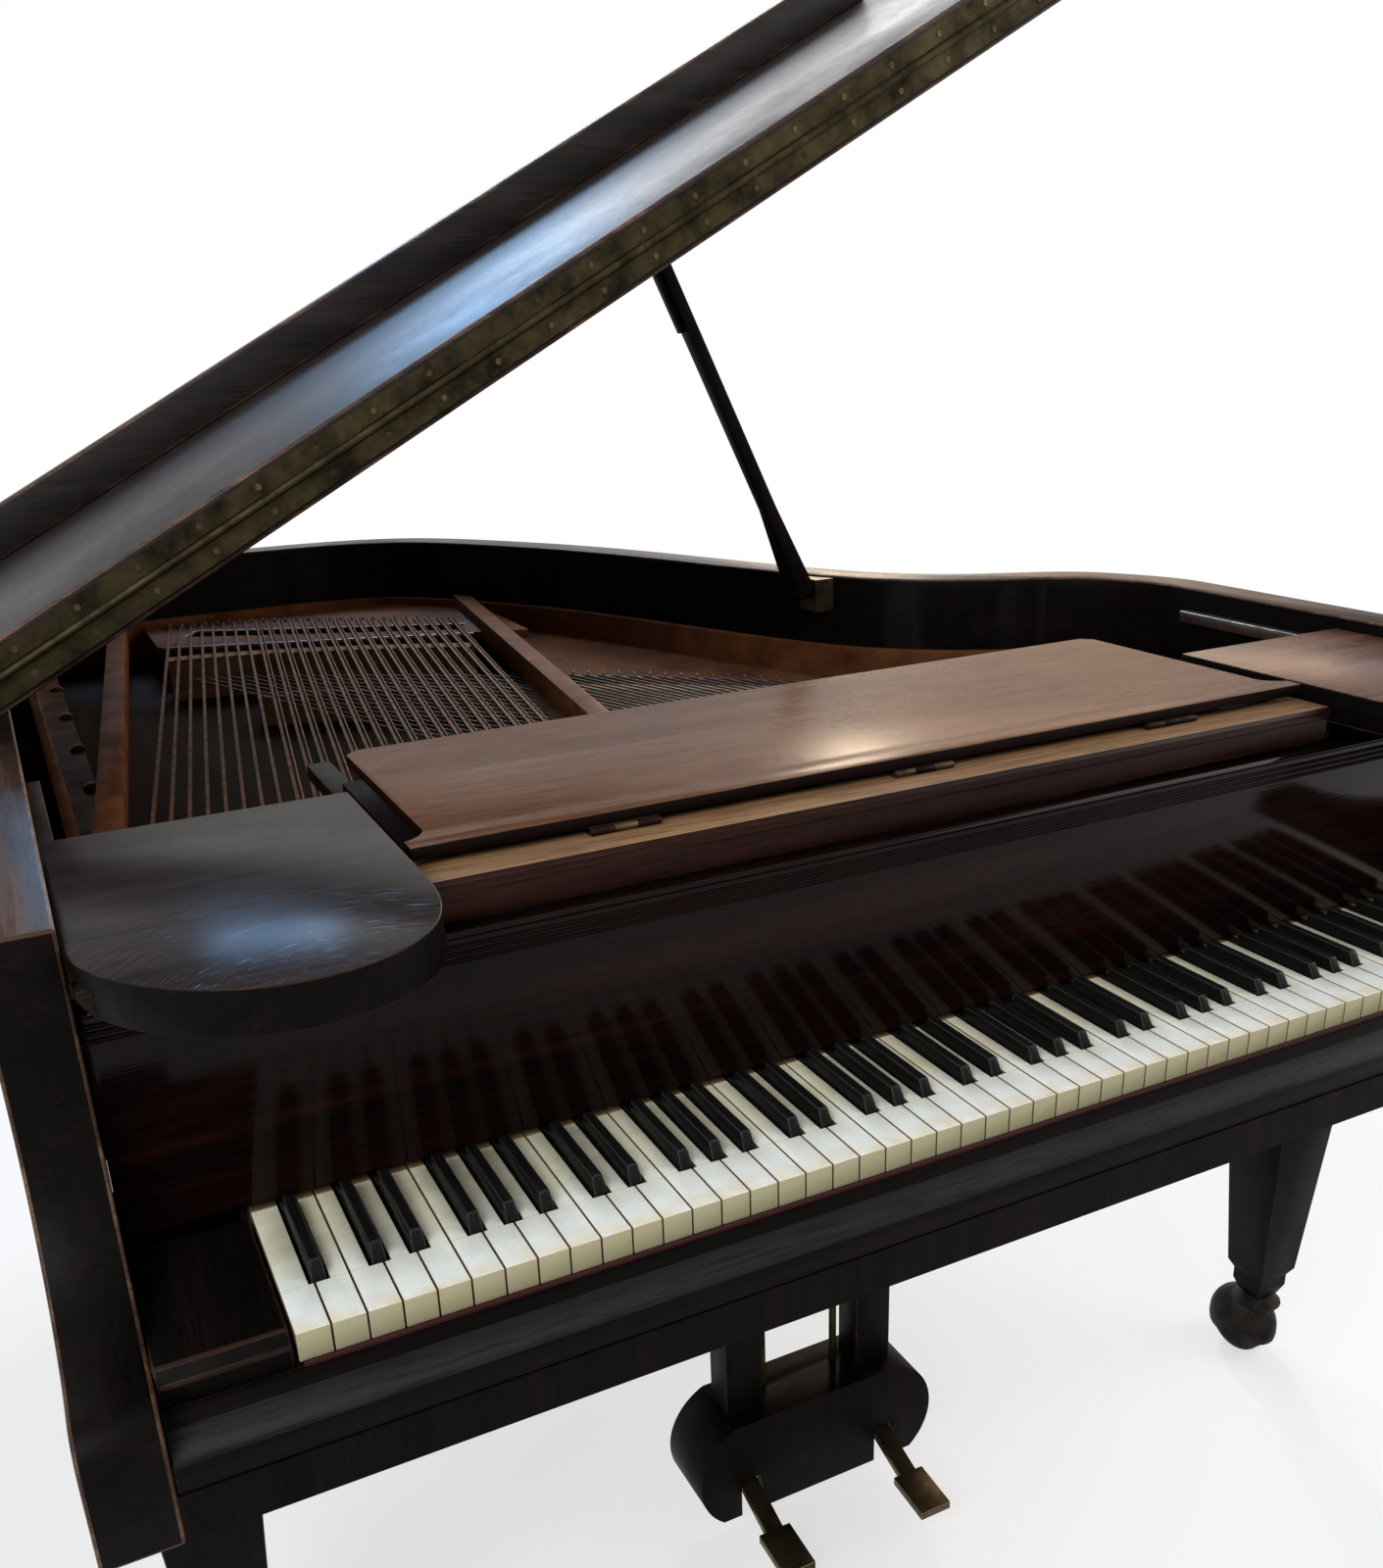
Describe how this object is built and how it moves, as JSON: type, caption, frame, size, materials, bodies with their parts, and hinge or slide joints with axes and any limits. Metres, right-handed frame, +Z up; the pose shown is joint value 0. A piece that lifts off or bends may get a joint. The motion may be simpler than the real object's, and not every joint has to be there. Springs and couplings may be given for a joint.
{
  "type": "grand piano",
  "caption": "Grand piano in red-brown wood with a propped folding lid, flat music desk, sliding side shelves, keyboard, pedal lyre and square tapered legs on brass casters.",
  "frame": {"origin": "on the floor under the middle of the piano's overall box", "axes": "+X to the player's right (treble), +Y from the keyboard to the tail, +Z up"},
  "size_m": [1.5222, 1.89, 1.7922],
  "materials": {
    "mahogany": "polished lacquer",
    "inner_wood": "plain",
    "spruce": "satin varnish",
    "bronze_iron": "bronzed",
    "ivory": "polished",
    "ebony": "satin",
    "steel": "plain",
    "copper": "wound",
    "felt": "matt",
    "brass": "polished"
  },
  "bodies": {
    "case": {"rim": "mahogany", "inner_rim": "inner_wood", "back_frame": "inner_wood", "keybed": "inner_wood", "key_slip": "mahogany", "key_blocks": "mahogany", "stretcher": "mahogany", "natural_keys": "ivory", "sharp_keys": "ebony", "key_frame": "inner_wood", "soundboard": "spruce", "pin_block": "inner_wood", "bridges": "inner_wood", "plate": "bronze_iron", "bass_strings": "copper", "treble_strings": "steel", "hammer_action": "inner_wood", "lid_hinge_rim_leaves": "brass", "prop_bracket": "steel", "slide_runners": "inner_wood", "leg_front_left": "mahogany", "leg_front_right": "mahogany", "leg_rear": "mahogany", "lyre_posts": "mahogany", "lyre_box": "mahogany"},
    "lid": {"lid_main": "mahogany", "lid_hinge_lid_leaves": "brass", "fold_hinge_lid_leaf": "brass"},
    "flap": {"lid_flap": "mahogany", "fold_hinge_flap_leaf": "brass"},
    "prop": {"prop_stick": "mahogany"},
    "desk": {"desk_tray": "inner_wood", "music_ledge": "mahogany"},
    "desk_leaf": {"desk_panel": "mahogany"},
    "shelf_l": {"shelf_left": "mahogany"},
    "shelf_r": {"shelf_right": "mahogany"},
    "key_cover": {"fallboard": "mahogany"},
    "damper_rail": {"dampers": "felt"},
    "pedal_l": {"pedal_left": "brass"},
    "pedal_r": {"pedal_right": "brass"},
    "rod_l": {"pedal_rod_left": "brass"},
    "rod_r": {"pedal_rod_right": "brass"},
    "note_c": {"key_c": "ivory"},
    "note_c_sharp": {"key_c_sharp": "ebony"},
    "note_d": {"key_d": "ivory"},
    "note_d_sharp": {"key_d_sharp": "ebony"},
    "note_e": {"key_e": "ivory"},
    "note_f": {"key_f": "ivory"},
    "note_f_sharp": {"key_f_sharp": "ebony"},
    "note_g": {"key_g": "ivory"},
    "note_g_sharp": {"key_g_sharp": "ebony"},
    "note_a": {"key_a": "ivory"},
    "note_a_sharp": {"key_a_sharp": "ebony"},
    "note_b": {"key_b": "ivory"},
    "fork_front_left": {"caster_fork_front_left": "brass"},
    "wheel_front_left": {"caster_wheel_front_left": "brass"},
    "fork_front_right": {"caster_fork_front_right": "brass"},
    "wheel_front_right": {"caster_wheel_front_right": "brass"},
    "fork_rear": {"caster_fork_rear": "brass"},
    "wheel_rear": {"caster_wheel_rear": "brass"}
  },
  "joints": [
    {"name": "lid_lift", "type": "hinge", "parent": "case", "child": "lid", "pos_m": [-0.72859, -0.293, 1.0175], "axis": [0, -1, 0], "range_deg": [0, 17]},
    {"name": "lid_fold", "type": "hinge", "parent": "lid", "child": "flap", "pos_m": [-0.07805, -0.293, 1.39794], "axis": [-0.8829, 0, -0.4695], "range_deg": [-180, 0]},
    {"name": "prop_fold", "type": "hinge", "parent": "case", "child": "prop", "pos_m": [0.37038, 0.08, 0.997], "axis": [-1, 0, 0], "range_deg": [0, 90]},
    {"name": "desk_slide", "type": "slide", "parent": "case", "child": "desk", "axis": [0, 1, 0], "range_m": [0, 0.12]},
    {"name": "desk_tilt", "type": "hinge", "parent": "desk", "child": "desk_leaf", "pos_m": [0.02441, -0.71, 0.9882], "axis": [1, 0, 0], "range_deg": [0, 70]},
    {"name": "shelf_left_slide", "type": "slide", "parent": "case", "child": "shelf_l", "axis": [0, 1, 0], "range_m": [0, 0.15]},
    {"name": "shelf_right_slide", "type": "slide", "parent": "case", "child": "shelf_r", "axis": [0, 1, 0], "range_m": [0, 0.15]},
    {"name": "fallboard_turn", "type": "hinge", "parent": "case", "child": "key_cover", "pos_m": [0.02441, -0.743, 0.795], "axis": [1, 0, 0], "range_deg": [0, 90]},
    {"name": "pedal_left_press", "type": "hinge", "parent": "case", "child": "pedal_l", "pos_m": [-0.06759, -0.505, 0.083], "axis": [1, 0, 0], "range_deg": [0, 7], "stiffness_Nm_per_rad": 20, "springref_deg": -5.73},
    {"name": "rod_left_lift", "type": "slide", "parent": "case", "child": "rod_l", "axis": [0, 0, 1], "range_m": [0, 0.0035]},
    {"name": "pedal_right_press", "type": "hinge", "parent": "case", "child": "pedal_r", "pos_m": [0.11641, -0.505, 0.083], "axis": [1, 0, 0], "range_deg": [0, 7], "stiffness_Nm_per_rad": 20, "springref_deg": -5.73},
    {"name": "rod_right_lift", "type": "slide", "parent": "case", "child": "rod_r", "axis": [0, 0, 1], "range_m": [0, 0.0035]},
    {"name": "damper_lift", "type": "slide", "parent": "case", "child": "damper_rail", "axis": [0, 0, 1], "range_m": [0, 0.006]},
    {"name": "key_c_press", "type": "hinge", "parent": "case", "child": "note_c", "pos_m": [-0.03904, -0.673, 0.7387], "axis": [1, 0, 0], "range_deg": [0, 2.4], "stiffness_Nm_per_rad": 3, "springref_deg": -4.58},
    {"name": "key_c_sharp_press", "type": "hinge", "parent": "case", "child": "note_c_sharp", "pos_m": [-0.02494, -0.673, 0.7387], "axis": [1, 0, 0], "range_deg": [0, 2.4], "stiffness_Nm_per_rad": 3, "springref_deg": -4.58},
    {"name": "key_d_press", "type": "hinge", "parent": "case", "child": "note_d", "pos_m": [-0.01084, -0.673, 0.7387], "axis": [1, 0, 0], "range_deg": [0, 2.4], "stiffness_Nm_per_rad": 3, "springref_deg": -4.58},
    {"name": "key_d_sharp_press", "type": "hinge", "parent": "case", "child": "note_d_sharp", "pos_m": [0.00326, -0.673, 0.7387], "axis": [1, 0, 0], "range_deg": [0, 2.4], "stiffness_Nm_per_rad": 3, "springref_deg": -4.58},
    {"name": "key_e_press", "type": "hinge", "parent": "case", "child": "note_e", "pos_m": [0.01736, -0.673, 0.7387], "axis": [1, 0, 0], "range_deg": [0, 2.4], "stiffness_Nm_per_rad": 3, "springref_deg": -4.58},
    {"name": "key_f_press", "type": "hinge", "parent": "case", "child": "note_f", "pos_m": [0.03113, -0.673, 0.7387], "axis": [1, 0, 0], "range_deg": [0, 2.4], "stiffness_Nm_per_rad": 3, "springref_deg": -4.58},
    {"name": "key_f_sharp_press", "type": "hinge", "parent": "case", "child": "note_f_sharp", "pos_m": [0.04455, -0.673, 0.7387], "axis": [1, 0, 0], "range_deg": [0, 2.4], "stiffness_Nm_per_rad": 3, "springref_deg": -4.58},
    {"name": "key_g_press", "type": "hinge", "parent": "case", "child": "note_g", "pos_m": [0.05798, -0.673, 0.7387], "axis": [1, 0, 0], "range_deg": [0, 2.4], "stiffness_Nm_per_rad": 3, "springref_deg": -4.58},
    {"name": "key_g_sharp_press", "type": "hinge", "parent": "case", "child": "note_g_sharp", "pos_m": [0.07141, -0.673, 0.7387], "axis": [1, 0, 0], "range_deg": [0, 2.4], "stiffness_Nm_per_rad": 3, "springref_deg": -4.58},
    {"name": "key_a_press", "type": "hinge", "parent": "case", "child": "note_a", "pos_m": [0.08484, -0.673, 0.7387], "axis": [1, 0, 0], "range_deg": [0, 2.4], "stiffness_Nm_per_rad": 3, "springref_deg": -4.58},
    {"name": "key_a_sharp_press", "type": "hinge", "parent": "case", "child": "note_a_sharp", "pos_m": [0.09827, -0.673, 0.7387], "axis": [1, 0, 0], "range_deg": [0, 2.4], "stiffness_Nm_per_rad": 3, "springref_deg": -4.58},
    {"name": "key_b_press", "type": "hinge", "parent": "case", "child": "note_b", "pos_m": [0.1117, -0.673, 0.7387], "axis": [1, 0, 0], "range_deg": [0, 2.4], "stiffness_Nm_per_rad": 3, "springref_deg": -4.58},
    {"name": "caster_front_left_swivel", "type": "hinge", "parent": "case", "child": "fork_front_left", "pos_m": [-0.65159, -0.571, 0.1], "axis": [0, 0, 1], "continuous": true},
    {"name": "caster_front_left_roll", "type": "hinge", "parent": "fork_front_left", "child": "wheel_front_left", "pos_m": [-0.65159, -0.553, 0.042], "axis": [1, 0, 0], "continuous": true},
    {"name": "caster_front_right_swivel", "type": "hinge", "parent": "case", "child": "fork_front_right", "pos_m": [0.70041, -0.571, 0.1], "axis": [0, 0, 1], "continuous": true},
    {"name": "caster_front_right_roll", "type": "hinge", "parent": "fork_front_right", "child": "wheel_front_right", "pos_m": [0.70041, -0.553, 0.042], "axis": [1, 0, 0], "continuous": true},
    {"name": "caster_rear_swivel", "type": "hinge", "parent": "case", "child": "fork_rear", "pos_m": [-0.22559, 0.665, 0.1], "axis": [0, 0, 1], "continuous": true},
    {"name": "caster_rear_roll", "type": "hinge", "parent": "fork_rear", "child": "wheel_rear", "pos_m": [-0.22559, 0.683, 0.042], "axis": [1, 0, 0], "continuous": true}
  ],
  "couplings": [
    {"joint": "rod_left_lift", "follows": "pedal_left_press", "m_per_rad": 0.0255},
    {"joint": "rod_right_lift", "follows": "pedal_right_press", "m_per_rad": 0.0255},
    {"joint": "damper_lift", "follows": "pedal_right_press", "m_per_rad": 0.045}
  ]
}
